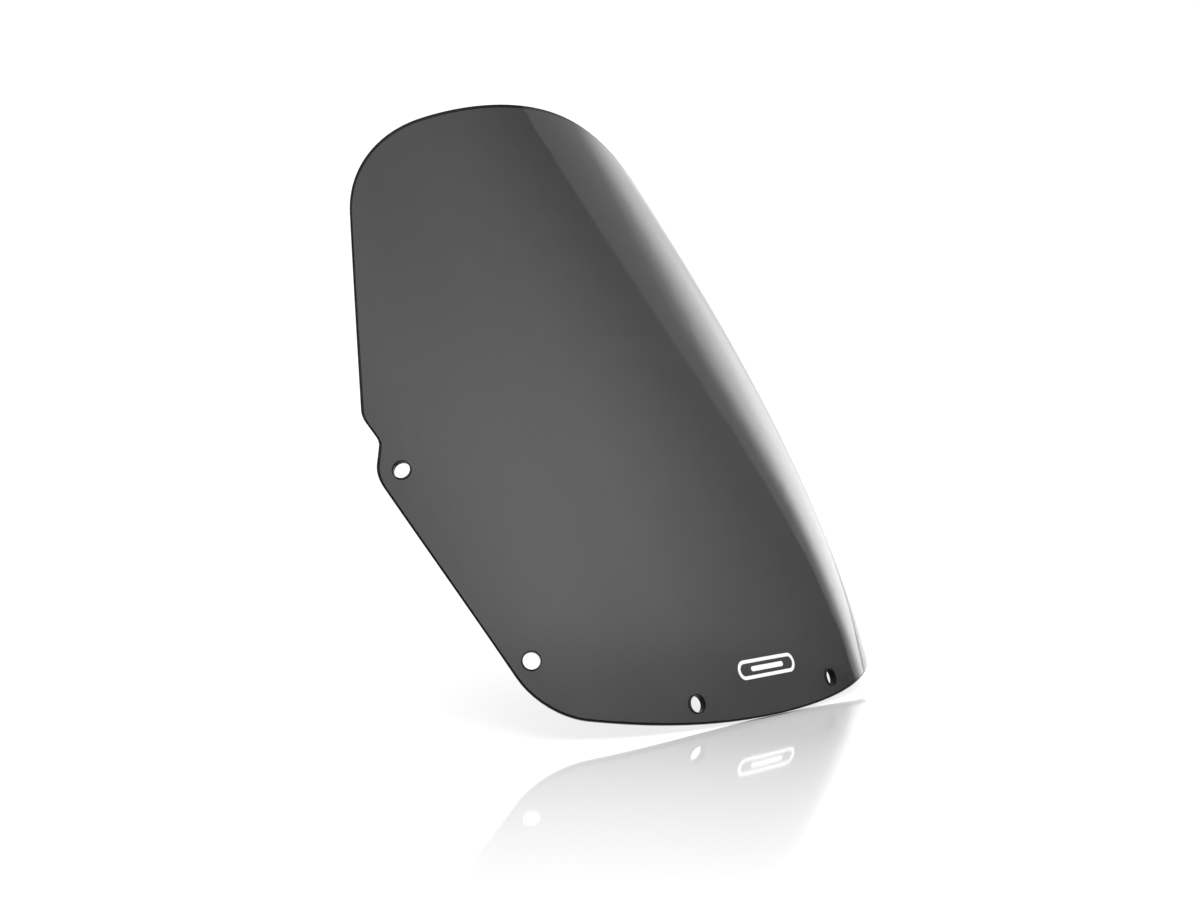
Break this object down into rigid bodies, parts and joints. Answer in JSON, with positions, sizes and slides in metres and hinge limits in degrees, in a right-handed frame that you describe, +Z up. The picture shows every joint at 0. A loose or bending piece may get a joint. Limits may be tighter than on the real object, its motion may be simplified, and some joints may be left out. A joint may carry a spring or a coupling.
{
  "type": "motorcycle windshield screen",
  "caption": "Raised smoked screen, wrapped around its flanks, with a stepped side edge and plain fixing holes along its sides and foot.",
  "frame": {"origin": "on the outer face, midway between the two bottom fixing holes", "axes": "+Z up, -Y towards the front of the motorcycle, which the convex outer face looks at, +Y towards the rider, symmetric about X = 0; the screen stands with its fitted backward lean"},
  "size_m": [0.3182, 0.1991, 0.3336],
  "materials": {
    "smoked_acrylic": "dark grey smoked clear acrylic, polished on both faces and along its cut edges",
    "white_print": "opaque white screen print, satin"
  },
  "bodies": {
    "root": {"screen_sheet": "smoked_acrylic", "printed_mark": "white_print"}
  },
  "joints": []
}
